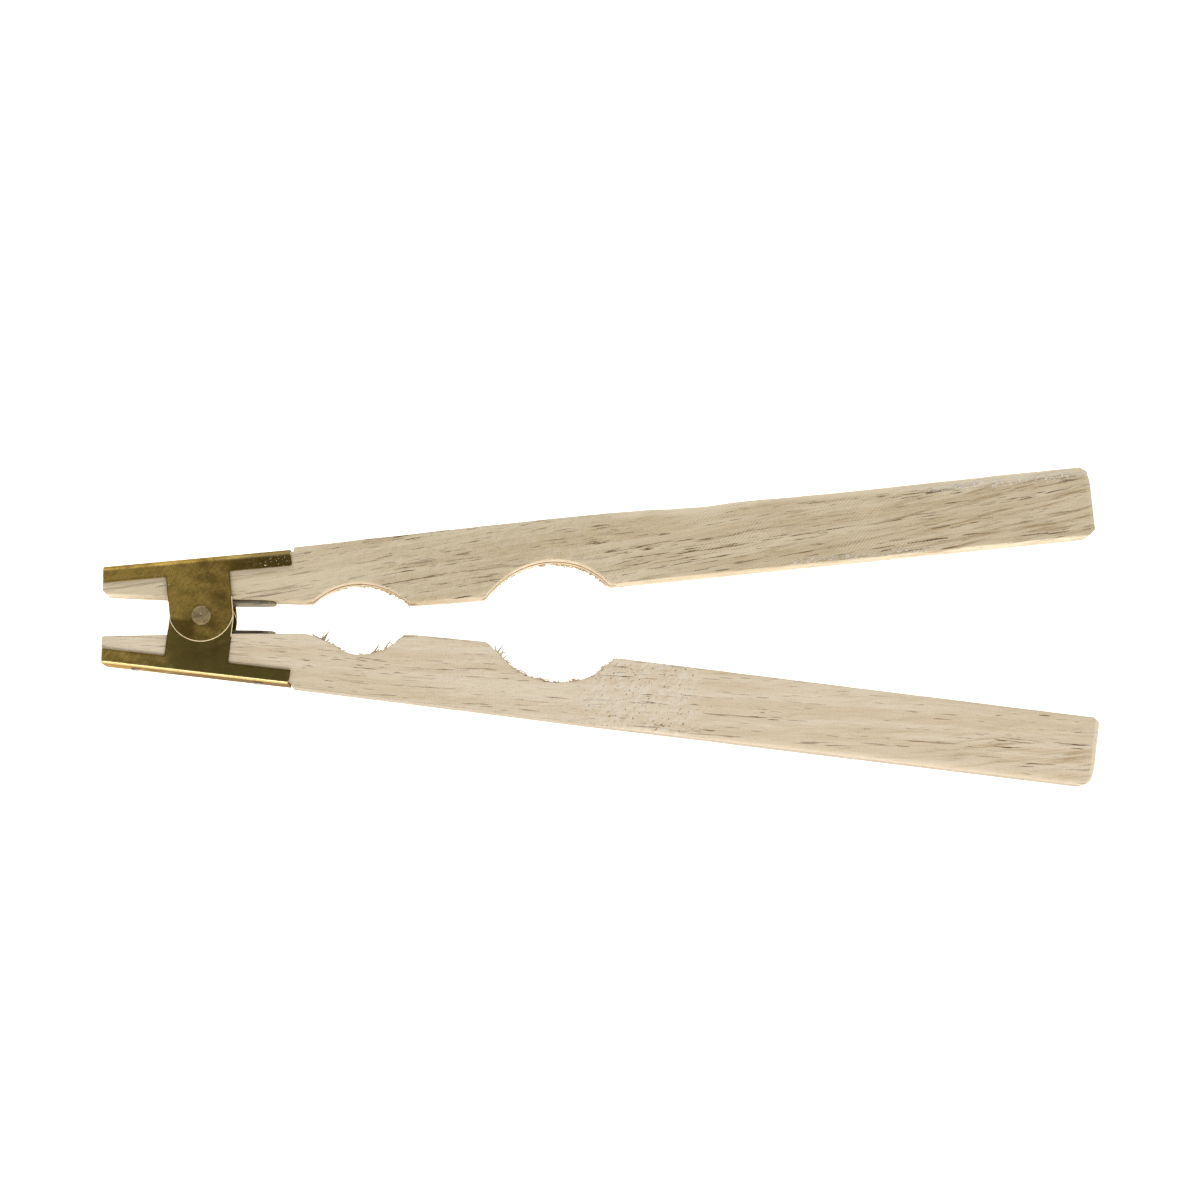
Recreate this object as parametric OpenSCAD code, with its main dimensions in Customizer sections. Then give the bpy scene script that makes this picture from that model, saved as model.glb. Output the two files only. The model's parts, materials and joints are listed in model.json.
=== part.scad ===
// Spring-hinged wooden holding tongs. Two notched arms, each shod with a folded brass bracket,
// turn on one rivet. A steel strip spring bent round the rivet pushes the handles apart.
// Everything is drawn with the rivet's axis along Z through the hinge point, and placed at the
// end so that the origin is at the middle of the bottom of the whole object.
// Where a dimension has two values, the first is the upper arm's and the second the lower arm's.

/* [Arms] */
// Thickness of each arm, front to back
arm_thick = 15; // [13:0.5:17]
// Width of the straight handle, inner edge to outer edge
handle_w = 17.1; // [16.5:0.1:17.6]
// Distance from the rivet's axis to the outer edge of the handle's line
outer_off = 14.75; // [14.65:0.05:14.9]
// Angle of each handle from the middle line
handle_angle = 6.47; // [6.3:0.05:6.7]
// Length from the rivet to the handle's end, along the handle
handle_len = [224.3, 225.4]; // [200:0.1:240]
// Distance from the rivet to the jaw's tip
jaw_reach = 24.8; // [24.6:0.1:26]
// Bevel on the inner corner of the jaw's tip
jaw_bevel = 1.2; // [0.8:0.1:1.5]
// Bevel along the outer edges of the handle
edge_bevel = 0.8; // [0.4:0.1:1.2]
// Where that bevel starts, from the rivet
edge_bevel_start = 104; // [90:1:140]

/* [Gap between the arms] */
// Half of the opening at the jaw's tip
tip_half = 5.25; // [5:0.05:5.4]
// Half of the gap beside the rivet
throat_half = 4.3; // [4.25:0.05:4.4]
// Half of the gap just before the small notch
crest_1_half = 4.1; // [4.05:0.05:4.2]
// Half of the gap just after the small notch, the narrowest place
crest_2_half = 4.0; // [3.95:0.05:4.1]

/* [Notches] */
// Distance from the rivet to the small notch's middle
small_notch_x = [39.4, 39.3]; // [39:0.05:40]
// Width of the small notch at the arm's edge
small_notch_w = [24.2, 24.8]; // [23:0.2:26]
// Depth of the small notch
small_notch_depth = [4.9, 5.2]; // [4.5:0.1:5.5]
// Distance from the rivet to the large notch's middle, along the handle
large_notch_s = [86.9, 87.4]; // [86:0.1:89]
// Width of the large notch at the arm's edge
large_notch_w = [32, 32.6]; // [30:0.2:34]
// Depth of the large notch
large_notch_depth = [7.6, 7.9]; // [7:0.1:8.2]

/* [Brackets] */
// Thickness of the brass sheet
sheet = 0.55; // [0.5:0.05:0.6]
// Length of the channel over the arm's edge
bracket_len = 47; // [45:0.5:47]
// Angle of the bracket from the middle line
bracket_angle = 5.95; // [5.8:0.05:6.1]
// Distance from the rivet's axis to the outside of the channel
web_off = 14.5; // [14.4:0.02:14.6]
// Height of the narrow side strips
strip_h = [4.1, 3.65]; // [3.5:0.05:4.3]
// Outer radius of the two bends
bend_r = [1.1, 0.75]; // [0.7:0.05:1.2]
// Width of the tab that carries the rivet
tab_w = 15.9; // [15:0.1:16]
// Radius of the tab's round end
tab_end_r = 8.25; // [8.1:0.05:8.4]
// Distance from the rivet back to the centre of that round end
tab_end_off = 1.75; // [1.5:0.05:1.9]
// Radius in the corners between strip and tab
corner_r = 0.8; // [0.5:0.1:1.2]

/* [Rivet] */
// Diameter of the rivet's shank
rivet_d = 2.8; // [2.4:0.1:3]
// Diameter of the two heads
rivet_head_d = 5; // [4.5:0.1:5.6]
// Height of each head
rivet_head_h = 0.9; // [0.8:0.05:1.1]

/* [Spring] */
// Thickness of the spring strip
spring_t = 0.7; // [0.5:0.05:0.8]
// Width of the spring strip
spring_w = 12; // [9:0.5:12]
// Reach of the spring's legs from the rivet
spring_reach = 18.1; // [14:0.1:22]
// Corner radius at the ends of the legs
spring_corner = 4; // [2:0.25:4.25]

/* [Nails] */
// Distance of each nail from the bracket's middle
nail_off = 15.4; // [13:0.1:17]
// Diameter of the nail's shank
nail_d = 1.2; // [1:0.1:1.4]
// Diameter of the nail's head
nail_head_d = 2.6; // [2.2:0.1:3]
// Thickness of the nail's head
nail_head_h = 0.65; // [0.4:0.05:0.7]
// Length of the nail under its head
nail_len = 7; // [5:0.5:7.5]

/* [Hidden] */
$fn = 96;
UPPER = 0;
LOWER = 1;

eps = 0.01;             // overlap of cutting shapes
slide = 0.1;            // gap between the wood and a tab that slides over it
leaf_gap = 0.05;        // gap between two faces that turn on each other
pivot_fit = 0.05;       // radial clearance of the rivet in the upper bracket
fixed_fit = 0.01;       // radial clearance of a rivet or nail in the piece that holds it
seat_bevel = 0.5;       // bevel on the wood inside the bracket's bends
shoulder_gap = 0.6;     // gap between the bracket's end and the seat's shoulder
joggle_h = 2.7;         // height over which the upper tab steps outwards

side_in = arm_thick / 2 + slide;        // inside of the side strips and the inner tabs
side_out = side_in + sheet;
outer_in = side_out + leaf_gap;         // inside of the outer tabs
outer_out = outer_in + sheet;
head_seat = outer_out + leaf_gap;       // underside of the rivet's heads
rivet_top = head_seat + rivet_head_h;
spring_r = crest_1_half - leaf_gap;     // outside of the spring's bend and legs
handle_in = outer_off - handle_w;       // inner edge of the handle, across its own line
tab_low = tab_end_off - tab_end_r - 1;  // just past the tab's round end

// A point s along and t across the line of the handle
function along(s, t) = [s * cos(handle_angle) - t * sin(handle_angle),
                        s * sin(handle_angle) + t * cos(handle_angle)];
// A point u along and v across the line of the bracket
function across(u, v) = [u * cos(bracket_angle) - v * sin(bracket_angle),
                         u * sin(bracket_angle) + v * cos(bracket_angle)];
// Radius of an arc from its chord and its depth
function arc_r(w, d) = (w * w / 4 + d * d) / (2 * d);
// Height at a given x of a line t across from the rivet at the handle's angle
function handle_line(x, t) = (t + x * sin(handle_angle)) / cos(handle_angle);
// Height at a given x of the bracket's seat on the wood
function seat_line(x) = (web_off - sheet + x * sin(bracket_angle)) / cos(bracket_angle);
// Lower edge of a bracket's side strips
function strip_low(arm) = web_off - strip_h[arm];

shoulder_x = across(bracket_len / 2, web_off)[0] + shoulder_gap;
far_x = along(max(handle_len), handle_in + jaw_bevel)[0];
hinge_point = [-(far_x - jaw_reach) / 2, 0, rivet_top];

// Moves a piece drawn about the hinge point to its place in the object
module place() translate(hinge_point) children();
// Leaves a piece of the upper arm as it is, and mirrors one of the lower arm
module side(arm) mirror([0, arm, 0]) children();
// Turns a piece into the line of the bracket
module on_bracket() rotate(bracket_angle) children();

module arm_outline(arm) {
    len = handle_len[arm];
    small_x = small_notch_x[arm];
    small_half = small_notch_w[arm] / 2;
    crest_x = along(large_notch_s[arm] - large_notch_w[arm] / 2, handle_in)[0];
    polygon([
        [-jaw_reach + jaw_bevel, tip_half],
        [tab_w / 2, throat_half],
        [small_x - small_half, crest_1_half],
        [small_x + small_half, crest_2_half],
        [crest_x, handle_line(crest_x, handle_in)],
        along(len - 1.5, handle_in),
        along(len, handle_in + jaw_bevel),
        along(len, outer_off - 4),
        along(len - 0.55, outer_off - 1.3),
        along(len - 2.3, outer_off),
        [shoulder_x, handle_line(shoulder_x, outer_off)],
        [shoulder_x, seat_line(shoulder_x)],
        [-jaw_reach, seat_line(-jaw_reach)],
        [-jaw_reach, tip_half + jaw_bevel]
    ]);
}

// A long square bar, on edge along X, that takes a bevel off an edge
module bevel_cut(length, size)
    rotate([45, 0, 0])
        translate([0, -size / sqrt(2), -size / sqrt(2)])
            cube([length, size * sqrt(2), size * sqrt(2)]);

// A round notch right through the arm's thickness, from its edge height, width and depth
module notch_cut(x, edge, width, depth) {
    r = arc_r(width, depth);
    translate([x, edge + depth - r, -arm_thick]) cylinder(r = r, h = 2 * arm_thick);
}

module nail_hole(u)
    translate([u, web_off + eps, 0])
        rotate([90, 0, 0]) cylinder(d = nail_d + 2 * fixed_fit, h = nail_len + sheet + 0.2);

module arm(arm) {
    half = arm_thick / 2;
    difference() {
        translate([0, 0, -half]) linear_extrude(arm_thick) arm_outline(arm);
        notch_cut(small_notch_x[arm], (crest_1_half + crest_2_half) / 2,
                  small_notch_w[arm], small_notch_depth[arm]);
        rotate(handle_angle) {
            notch_cut(large_notch_s[arm], handle_in, large_notch_w[arm], large_notch_depth[arm]);
            for (z = [-half, half])
                translate([edge_bevel_start, outer_off, z]) bevel_cut(handle_len[arm], edge_bevel);
        }
        on_bracket() {
            for (z = [-half, half])
                translate([-bracket_len, web_off - sheet, z])
                    bevel_cut(bracket_len + shoulder_x, seat_bevel);
            for (u = [-nail_off, nail_off]) nail_hole(u);
        }
    }
}

module upper_arm() { color([0.80, 0.73, 0.59]) place() arm(UPPER); }
module lower_arm() { color([0.85, 0.79, 0.68]) place() side(LOWER) arm(LOWER); }

// Outline of the bracket seen from the front: side strip, tab with a round end, small corners
module bracket_outline(arm) {
    low = strip_low(arm);
    corner_v = tab_end_off - sqrt(pow(tab_end_r, 2) - pow(tab_w / 2, 2));
    translate([-bracket_len / 2, low]) square([bracket_len, strip_h[arm] + 1]);
    translate([-tab_w / 2, corner_v]) square([tab_w, web_off - corner_v]);
    intersection() {
        translate([0, tab_end_off]) circle(r = tab_end_r);
        translate([-tab_w / 2, tab_low]) square([tab_w, -tab_low]);
    }
    for (end = [-1, 1]) difference() {
        translate([end * tab_w / 2, low]) square(2 * corner_r, center = true);
        translate([end * (tab_w / 2 + corner_r), low - corner_r]) circle(r = corner_r);
    }
}

// Half of the channel seen from its end, filled, with x from front to back and y as height.
// A larger inset draws the inside of the sheet. The upper bracket's tabs step outwards to lie
// over the lower bracket's tabs.
module half_channel(arm, inset) {
    out = side_out - inset;
    top = web_off - inset;
    r = bend_r[arm] - inset;
    low = strip_low(arm);
    step = arm == UPPER ? outer_out - side_out : 0;
    translate([out - r, top - r]) circle(r = r);
    polygon([[-eps, tab_low - inset], [out + step, tab_low - inset],
             [out + step, low - joggle_h], [out, low], [out, top - r],
             [out - r, top], [-eps, top]]);
}

// The folded sheet before its outline is cut: a channel whose sides run down to the tabs
module channel(arm)
    for (m = [0, 1]) mirror([0, 0, m])
        rotate([0, 90, 0]) translate([0, 0, -bracket_len / 2]) difference() {
            linear_extrude(bracket_len) half_channel(arm, 0);
            translate([0, 0, -1]) linear_extrude(bracket_len + 2)
                translate([-eps, 0]) half_channel(arm, sheet);
        }

module bracket(arm, hole_d) {
    on_bracket() difference() {
        intersection() {
            channel(arm);
            translate([0, 0, -arm_thick]) linear_extrude(2 * arm_thick) bracket_outline(arm);
        }
        translate([0, 0, -arm_thick]) cylinder(d = hole_d, h = 2 * arm_thick);
        for (u = [-nail_off, nail_off]) nail_hole(u);
    }
}

module upper_bracket() {
    color([0.50, 0.42, 0.20]) place() bracket(UPPER, rivet_d + 2 * pivot_fit);
}
module lower_bracket() {
    color([0.47, 0.39, 0.18]) place() side(LOWER) bracket(LOWER, rivet_d + 2 * fixed_fit);
}

// Shank and two flat heads, each with a softened edge and a shallow dimple
module rivet() {
    head_r = rivet_head_d / 2;
    color([0.55, 0.46, 0.34]) place() for (m = [0, 1]) mirror([0, 0, m])
        rotate_extrude() polygon([
            [0, 0], [rivet_d / 2, 0], [rivet_d / 2, head_seat], [head_r, head_seat],
            [head_r, head_seat + rivet_head_h / 2], [head_r - 0.3, rivet_top - 0.1],
            [head_r - 0.8, rivet_top], [0.7, rivet_top], [0, rivet_top - 0.15]
        ]);
}

// Flat leg of the spring with round corners at its end
module spring_leg() {
    straight = spring_reach - spring_corner;
    translate([0, spring_r, 0]) rotate([90, 0, 0]) linear_extrude(spring_t) {
        translate([0, -spring_w / 2]) square([straight, spring_w]);
        translate([0, spring_corner - spring_w / 2])
            square([spring_reach, spring_w - 2 * spring_corner]);
        for (end = [-1, 1])
            translate([straight, end * (spring_w / 2 - spring_corner)]) circle(r = spring_corner);
    }
}

module spring() {
    color([0.22, 0.22, 0.23]) place() {
        difference() {
            translate([0, 0, -spring_w / 2]) cylinder(r = spring_r, h = spring_w);
            translate([0, 0, -spring_w]) cylinder(r = spring_r - spring_t, h = 2 * spring_w);
            translate([0, -2 * spring_r, -spring_w])
                cube([2 * spring_r, 4 * spring_r, 2 * spring_w]);
        }
        spring_leg();
        mirror([0, 1, 0]) spring_leg();
    }
}

// Flat-headed pointed nail through the web of the bracket into the wood
module nail(arm, u) {
    head_r = nail_head_d / 2;
    color([0.72, 0.70, 0.66]) place() side(arm) on_bracket()
        translate([u, web_off, 0]) rotate([-90, 0, 0]) rotate_extrude() polygon([
            [0, -nail_len], [nail_d / 2, 1.2 - nail_len], [nail_d / 2, 0], [head_r, 0],
            [head_r, nail_head_h * 0.6], [head_r - 0.3, nail_head_h], [0, nail_head_h]
        ]);
}

module upper_jaw_nail() nail(UPPER, -nail_off);
module upper_handle_nail() nail(UPPER, nail_off);
module lower_jaw_nail() nail(LOWER, -nail_off);
module lower_handle_nail() nail(LOWER, nail_off);

upper_arm();
lower_arm();
upper_bracket();
lower_bracket();
rivet();
spring();
upper_jaw_nail();
upper_handle_nail();
lower_jaw_nail();
lower_handle_nail();
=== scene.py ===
import json
from math import ceil, copysign, cos, exp, hypot, pi, radians, sin, sqrt
from random import Random
from types import SimpleNamespace

import bmesh
import bpy
from mathutils import Matrix, Vector, noise


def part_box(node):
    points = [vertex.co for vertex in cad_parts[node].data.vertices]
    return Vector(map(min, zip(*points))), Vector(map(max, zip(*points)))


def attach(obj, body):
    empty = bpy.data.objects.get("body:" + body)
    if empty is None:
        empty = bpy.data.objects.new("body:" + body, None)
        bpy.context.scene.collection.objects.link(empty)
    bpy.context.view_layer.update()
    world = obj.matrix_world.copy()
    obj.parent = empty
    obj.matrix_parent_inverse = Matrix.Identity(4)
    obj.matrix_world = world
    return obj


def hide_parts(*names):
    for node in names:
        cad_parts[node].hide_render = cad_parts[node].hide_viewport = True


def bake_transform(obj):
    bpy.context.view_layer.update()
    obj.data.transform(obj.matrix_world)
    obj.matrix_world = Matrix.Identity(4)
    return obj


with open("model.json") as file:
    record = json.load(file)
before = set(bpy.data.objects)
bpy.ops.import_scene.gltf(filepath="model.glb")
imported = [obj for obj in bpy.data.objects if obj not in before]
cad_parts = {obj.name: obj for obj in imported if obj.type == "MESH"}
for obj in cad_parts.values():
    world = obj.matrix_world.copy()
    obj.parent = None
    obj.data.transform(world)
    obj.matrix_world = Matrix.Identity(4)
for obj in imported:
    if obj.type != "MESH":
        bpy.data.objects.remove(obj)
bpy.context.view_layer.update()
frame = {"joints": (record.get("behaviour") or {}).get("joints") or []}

# ---- Sizes ----
# In millimetres about the hinge: x along the tongs, y across them, z up the rivet. Along and
# across a handle's own line they are s and t, and along and across a bracket's, u and v. Both
# arms are described as the upper one lies, with y away from the middle line; the lower arm's
# pieces are mirrored when their meshes are made.
MM = 0.001
hinge = Vector(frame["joints"][0]["pos_m"])
arm_low, arm_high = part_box("upper_arm")
half_thick = (arm_high.z - arm_low.z) / MM / 2
jaw_reach = (hinge.x - arm_low.x) / MM
rivet_top = hinge.z / MM

handle_angle = radians(6.47)
outer_off = 14.75                   # the handle's outer edge, across its own line
handle_in = -2.35                   # its inner edge
tip_half = 5.25
throat_half = 4.3
crest_1_x, crest_1_half = 27.3, 4.1     # the arm's edge before and after the small notch
crest_2_x, crest_2_half = 51.5, 4.0
crest_s = 70.9                      # where the large notch begins
last_square, first_on_handle = 69.6, 70.2   # ribs counted along X, and along the handle
jaw_bevel = 1.2
tilt_start, tilt_end = 54.0, 68.0   # the ribs turn from square to X to square to the handle
edge_r = 0.28                       # rounding of the wood's sawn edges
rib_pitch = 0.62
face_count = 26                     # divisions across the broad faces
kerf_low, kerf_top = -1.3, 0.5      # the cutter's mark round the wall of each notch
kerf_wall, kerf_depth = 0.04, 1.1   # half the height of the mark's sides, and its depth

sheet = 0.55
bracket_angle = radians(5.95)
bracket_len = 47.0
web_off = 14.5
tab_half = 7.95
tab_end_r = 8.25
tab_end_off = 1.75
corner_r = 0.4
side_out = half_thick + 0.1 + sheet     # the sheet's outside, with a little play on the wood
sheared, sheared_deep = 0.2, 0.16   # rounding of the sheet's sheared edges
joggle_h = 6.8                      # height over which an upper tab leans outwards
shoulder_x = 22.5                   # where the bracket's seat in the wood ends
pinch_start, pinch_length = 21.0, 2.5   # the bends draw in towards the bracket's ends
bright_below = 4.2                  # height on a side below which the cut edge is clean
rivet_hole_r, nail_hole_r = 1.46, 0.62

rivet_r, rivet_head_r = 1.4, 2.5
head_seat = 8.8                     # underside of the rivet's heads
nail_off = 15.4

spring_t = 0.7
spring_half_w = 6.0
spring_reach = 18.1
spring_corner = 4.0
spring_mid_r = 3.7


def round_notch(middle, width, depth, lean=0.0, soft=0.0, soft_from=0.0):
    """A round notch; lean moves its deepest place, and soft fills up its side towards the jaw."""
    return SimpleNamespace(middle=middle, width=width, depth=depth, lean=lean, soft=soft,
                           soft_from=soft_from)


# strip_h, bend_r and step are the bracket's: the height of its side strips, its bends, and how far
# its tabs lean outwards. sway is the bulge of the outer edge, as (s, how far). end_worn and
# bevel_worn say how pale the edges have rubbed, and the jaw value is painted light that makes the
# wood near the jaw paler. pore_from is lower where more pores show.
UPPER = SimpleNamespace(
    name="upper", body="upper_half", side=1, length=224.3,
    strip_h=4.1, bend_r=1.5, step=0.6,
    small=round_notch(39.4, 24.2, 4.9), large=round_notch(86.3, 31.4, 7.6, 0.05),
    sway=((22, 0), (30, 0.07), (45, 0.28), (60, 0.45), (75, 0.52), (90, 0.62), (105, 0.65),
          (113, 0.55), (120, 0.05), (127, -0.1), (136, 0.2), (150, 0.0), (165, -0.05),
          (185, 0.15), (200, 0.25), (225, 0.25)),
    tip_bevel=0.85, end_round=0.45, end_worn=0.3, bevel_worn=1.0, jaw_painted_light=0.4,
    grain=radians(10.0), streak_grain=radians(13.0), pore_from=0.99, seed=11.0)
LOWER = SimpleNamespace(
    name="lower", body="lower_half", side=-1, length=225.4,
    strip_h=3.65, bend_r=0.75, step=0.0,
    small=round_notch(38.2, 24.4, 5.1, 0.06, 0.68),
    large=round_notch(87.2, 32.2, 7.9, 0.06, 0.4, -0.55),
    sway=((22, 0), (60, 0.05), (95, 0.15), (140, 0.05), (225, 0)),
    tip_bevel=0.45, end_round=1.2, end_worn=0.8, bevel_worn=0.4, jaw_painted_light=0.0,
    grain=radians(-3.0), streak_grain=radians(6.0), pore_from=1.03, seed=37.0)
ARMS = (UPPER, LOWER)


# ---- Numbers and meshes ----
def clamp(value, low=0.0, high=1.0):
    return max(low, min(high, value))


def ease(share):
    """A smooth rise from 0 to 1."""
    t = clamp(share)
    return t * t * (3 - 2 * t)


def smooth(value, low, high):
    """0 before low, 1 past high, and a smooth step between them, whichever is larger."""
    return ease((value - low) / (high - low))


def window(value, start, end, fade):
    """1 between start and end, fading to 0 outside them."""
    return smooth(value, start - fade, start) * smooth(value, end + fade, end)


def piecewise(value, points, rise=clamp):
    """Straight lines through (x, y) points, or with ease, lines that are level at each of them."""
    for (x0, y0), (x1, y1) in zip(points, points[1:]):
        if value <= x1:
            return y0 + (y1 - y0) * rise((value - x0) / (x1 - x0))
    return points[-1][1]


def turned(a, b, angle):
    """The point that is a along and b across a line at this angle."""
    c, s = cos(angle), sin(angle)
    return (a * c - b * s, a * s + b * c)


def spread(start, end, count):
    """count + 1 even values from start to end."""
    return [start + (end - start) * i / count for i in range(count + 1)]


def paced(start, end, pitch):
    """Even values from start to end, at most a pitch apart."""
    return spread(start, end, max(1, ceil(abs(end - start) / pitch)))


def wobble(x, y, z, seed, size):
    """Smooth noise from about -1 to 1, with features of about this size."""
    return noise.noise(Vector((x / size + seed, y / size - seed, z / size + 3.1 * seed)))


def give(thing, **settings):
    """Sets a thing's properties and hands it back."""
    for key, value in settings.items():
        setattr(thing, key, value)
    return thing


def add_object(name, data):
    thing = bpy.data.objects.new(name, data)
    bpy.context.scene.collection.objects.link(thing)
    return thing


def make_piece(name, points, faces, materials, side=1):
    """An object from points in millimetres about the hinge; side -1 mirrors it."""
    mesh = bpy.data.meshes.new(name)
    mesh.from_pydata([hinge + Vector((x, y * side, z)) * MM for x, y, z in points], [], faces)
    if side < 0:
        mesh.flip_normals()
    for material in materials:
        mesh.materials.append(material)
    return add_object(name, mesh)


def tidy_mesh(piece, sharp=38.0, weld=0.002):
    """Joins points that meet, turns the faces outwards and shades smooth up to sharp edges."""
    work = bmesh.new()
    work.from_mesh(piece.data)
    bmesh.ops.remove_doubles(work, verts=work.verts, dist=weld * MM)
    bmesh.ops.recalc_face_normals(work, faces=work.faces)
    work.to_mesh(piece.data)
    work.free()
    piece.data.polygons.foreach_set("use_smooth", [True] * len(piece.data.polygons))
    piece.data.set_sharp_from_angle(angle=radians(sharp))


def add_mask(piece, name, values):
    """Stores one number for each point, for a material to read."""
    mask = piece.data.attributes.new(name, "FLOAT", "POINT")
    mask.data.foreach_set("value", values)


def apply_modifiers(piece):
    """Replaces the piece's mesh with what its modifiers make of it."""
    bpy.context.view_layer.update()
    seen = piece.evaluated_get(bpy.context.evaluated_depsgraph_get())
    piece.data = bpy.data.meshes.new_from_object(seen)
    piece.modifiers.clear()


def loft(count, size, first=0):
    """Faces between closed rings of this size, numbered one ring after another from first."""
    faces = []
    for start in range(first, first + (count - 1) * size, size):
        for i in range(size):
            a, b = start + i, start + (i + 1) % size
            faces.append((a, b, b + size, a + size))
    return faces


def cap(points, faces, first, count):
    """Closes a ring of points with a fan about its middle."""
    ring = range(first, first + count)
    middle = sum((Vector(points[i]) for i in ring), Vector()) / count
    points.append(tuple(middle))
    for i in ring:
        after = first + (i - first + 1) % count
        faces.append((i, after, len(points) - 1))


# ---- Shader nodes ----
class Graph:
    """Short calls for building the nodes of one material."""

    def __init__(self, name):
        self.material = bpy.data.materials.new(name)
        self.material.use_nodes = True
        self.tree = self.material.node_tree
        self.tree.nodes.clear()
        self.tone = None
        self.shader = self.add("BsdfPrincipled")
        output = self.add("OutputMaterial")
        self.join(self.shader.outputs[0], output.inputs["Surface"])

    def add(self, kind, **settings):
        return give(self.tree.nodes.new("ShaderNode" + kind), **settings)

    def join(self, source, socket):
        """Links a socket, or sets a plain value."""
        if isinstance(source, bpy.types.NodeSocket):
            self.tree.links.new(source, socket)
        else:
            socket.default_value = source

    def feed(self, node, **values):
        """Links or sets a node's inputs by name, with _ for a space in the names."""
        for key, value in values.items():
            self.join(value, node.inputs[key.replace("_", " ")])

    def set(self, **values):
        self.feed(self.shader, **values)

    def math(self, operation, a, b, kind="Math"):
        node = self.add(kind, operation=operation)
        self.join(a, node.inputs[0])
        self.join(b, node.inputs[1])
        return node.outputs[0]

    def vector(self, operation, a, b):
        return self.math(operation, a, b, "VectorMath")

    def times(self, value, *others):
        for other in others:
            value = self.math("MULTIPLY", value, other)
        return value

    def step(self, value, low, high, bottom=0.0, top=1.0):
        """Smooth step from bottom to top as the value goes from low to high."""
        node = self.add("MapRange", interpolation_type="SMOOTHSTEP")
        for source, socket in zip((value, low, high, bottom, top), node.inputs[:5]):
            self.join(source, socket)
        return node.outputs[0]

    def mix(self, factor, *tones):
        """Mixes two tones, each a node's output or a colour in values of 0 to 255."""
        node = self.add("Mix", data_type="RGBA")
        self.join(factor, node.inputs[0])
        for tone, socket in zip(tones, node.inputs[6:8]):
            self.join(srgb(tone) if isinstance(tone, tuple) else tone, socket)
        return node.outputs[2]

    def paint(self, colour, *amounts):
        """Lays a colour over the tone, as strongly as the product of these amounts."""
        self.tone = self.mix(self.times(*amounts), self.tone, colour)

    def place(self, turn=0.0):
        """Object coordinates about the hinge in millimetres, with X turned to this angle."""
        coordinates = self.add("TexCoord").outputs["Object"]
        centred = self.vector("SUBTRACT", coordinates, tuple(hinge))
        node = self.add("Mapping", vector_type="POINT")
        self.feed(node, Vector=centred, Rotation=(0, 0, -turn), Scale=(1 / MM, 1 / MM, 1 / MM))
        return node.outputs[0]

    def noise(self, place, x, y, z, shift=0.0, detail=2.0, rough=0.5):
        """Noise whose features are about x by y by z millimetres."""
        fit = self.add("Mapping", vector_type="POINT")
        self.feed(fit, Vector=place, Scale=(1 / x, 1 / y, 1 / z), Location=(shift, -shift, 2 * shift))
        node = self.add("TexNoise", noise_dimensions="3D")
        self.feed(node, Vector=fit.outputs[0], Scale=1.0, Detail=detail, Roughness=rough)
        return node.outputs["Fac"]

    def warp(self, place, across, size):
        """Bends the lines of a place to and fro across its X by up to about this much."""
        sway = self.noise(place, *size, shift=3.3, detail=1.0)
        centred = self.times(self.math("SUBTRACT", sway, 0.5), 2 * across)
        move = self.add("CombineXYZ")
        self.feed(move, Y=centred, Z=centred)
        return self.vector("ADD", place, move.outputs[0])

    def mask(self, name):
        return self.add("Attribute", attribute_name=name).outputs["Fac"]

    def bump(self, height, distance):
        """Surface relief of this many millimetres."""
        node = self.add("Bump")
        self.feed(node, Strength=1.0, Distance=distance * MM, Height=height)
        self.set(Normal=node.outputs[0])


def srgb(colour):
    """A colour of values from 0 to 255, as the shaders need it."""
    def linear(value):
        value /= 255
        return value / 12.92 if value <= 0.04045 else ((value + 0.055) / 1.055) ** 2.4
    return (*map(linear, colour), 1.0)


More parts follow.
